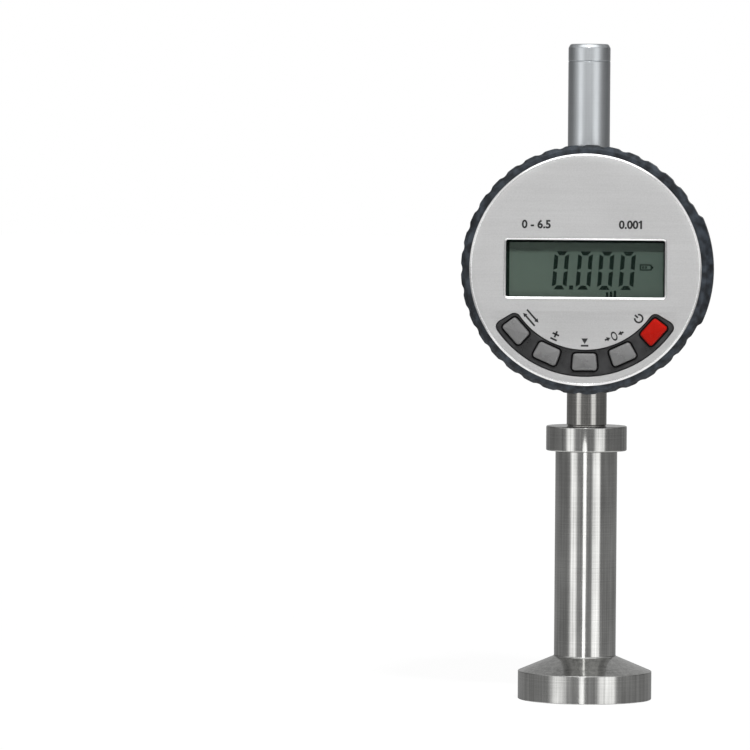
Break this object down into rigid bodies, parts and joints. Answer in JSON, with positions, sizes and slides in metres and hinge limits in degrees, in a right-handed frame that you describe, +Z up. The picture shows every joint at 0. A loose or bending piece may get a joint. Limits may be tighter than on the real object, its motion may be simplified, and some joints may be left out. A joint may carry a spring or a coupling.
{
  "type": "surface profile depth gauge",
  "caption": "Digital depth gauge on a tall flanged foot: round head with display and keys, notched rim, clamp collar, top tube and sprung conical tip.",
  "frame": {"origin": "centre of the foot's flat face, on the column's axis", "axes": "+Z up the column and the spindle, -Y out of the display face, +X to the right as the display is read"},
  "size_m": [0.0607, 0.0331, 0.1591],
  "materials": {
    "turned_steel": "turned stainless steel, fine turning marks, satin",
    "satin_tube": "satin chrome, fine and even",
    "bronze": "turned bearing bronze",
    "black_steel": "blackened steel",
    "screw_steel": "bright zinc plated",
    "spring_steel": "drawn spring wire",
    "spindle_steel": "ground hardened steel",
    "tip_steel": "polished carbide",
    "case_plastic": "moulded, fine grain",
    "bezel_plastic": "moulded blue-grey, satin",
    "black_plastic": "moulded black",
    "strip_plastic": "satin dark grey",
    "face_metal": "fine brushed, silver",
    "lens": "clear pane",
    "display": "grey-green liquid crystal panel",
    "soft_rubber": "silicone rubber",
    "board": "green circuit board",
    "contact_metal": "gold flashed spring leaf",
    "grey_key": "moulded grey, satin",
    "red_key": "moulded red, satin gloss",
    "cell_metal": "bright nickel can",
    "carrier_metal": "machined",
    "scale_glass": "printed scale strip"
  },
  "bodies": {
    "gauge_body": {"foot_column": "turned_steel", "tip_guide_bush": "bronze", "clamp_collar": "turned_steel", "clamp_screw": "black_steel", "stem": "satin_tube", "stem_bushes": "bronze", "housing": "case_plastic", "back_cover": "case_plastic", "back_cover_screws": "screw_steel", "swivel_hub": "screw_steel", "hub_ring": "black_steel", "reader_board": "board", "reader_board_screws": "screw_steel", "guide_plate": "screw_steel", "upper_bush": "bronze", "top_tube": "satin_tube", "tube_cap": "satin_tube", "return_spring": "spring_steel"},
    "display_head": {"bezel": "bezel_plastic", "face_plate": "face_metal", "window_lens": "lens", "lcd_panel": "display", "lcd_frame": "black_plastic", "lcd_connectors": "soft_rubber", "key_frame": "strip_plastic", "key_mat": "soft_rubber", "main_board": "board", "battery_contacts": "contact_metal", "head_back_plate": "case_plastic", "head_screws": "screw_steel"},
    "units_button": {"units_key": "grey_key"},
    "tolerance_button": {"tolerance_key": "grey_key"},
    "memory_button": {"memory_key": "grey_key"},
    "zero_button": {"zero_key": "grey_key"},
    "power_button": {"power_key": "red_key"},
    "tray": {"battery_tray": "bezel_plastic", "coin_cell": "cell_metal"},
    "spindle": {"spindle_rod": "spindle_steel", "stop_collar": "screw_steel", "scale_carrier": "carrier_metal", "scale_strip": "scale_glass", "guide_pin": "screw_steel", "spring_seat": "screw_steel", "extension_rod": "spindle_steel", "contact_point": "tip_steel"}
  },
  "joints": [
    {"name": "spindle_slide", "type": "slide", "parent": "gauge_body", "child": "spindle", "axis": [0, 0, 1], "range_m": [-0.006, 0.0005], "stiffness_N_per_m": 40, "springref_m": -0.02, "deforming": ["return_spring"]},
    {"name": "display_turn", "type": "hinge", "parent": "gauge_body", "child": "display_head", "pos_m": [0, -0.0059, 0.1047], "axis": [0, -1, 0], "range_deg": [-180, 90]},
    {"name": "units_key_press", "type": "slide", "parent": "display_head", "child": "units_button", "axis": [0, 1, 0], "range_m": [0, 0.0006], "stiffness_N_per_m": 400, "springref_m": -0.0005},
    {"name": "tolerance_key_press", "type": "slide", "parent": "display_head", "child": "tolerance_button", "axis": [0, 1, 0], "range_m": [0, 0.0006], "stiffness_N_per_m": 400, "springref_m": -0.0005},
    {"name": "memory_key_press", "type": "slide", "parent": "display_head", "child": "memory_button", "axis": [0, 1, 0], "range_m": [0, 0.0006], "stiffness_N_per_m": 400, "springref_m": -0.0005},
    {"name": "zero_key_press", "type": "slide", "parent": "display_head", "child": "zero_button", "axis": [0, 1, 0], "range_m": [0, 0.0006], "stiffness_N_per_m": 400, "springref_m": -0.0005},
    {"name": "power_key_press", "type": "slide", "parent": "display_head", "child": "power_button", "axis": [0, 1, 0], "range_m": [0, 0.0006], "stiffness_N_per_m": 400, "springref_m": -0.0005},
    {"name": "tray_slide", "type": "slide", "parent": "display_head", "child": "tray", "axis": [1, 0, 0], "range_m": [0, 0.02]}
  ]
}
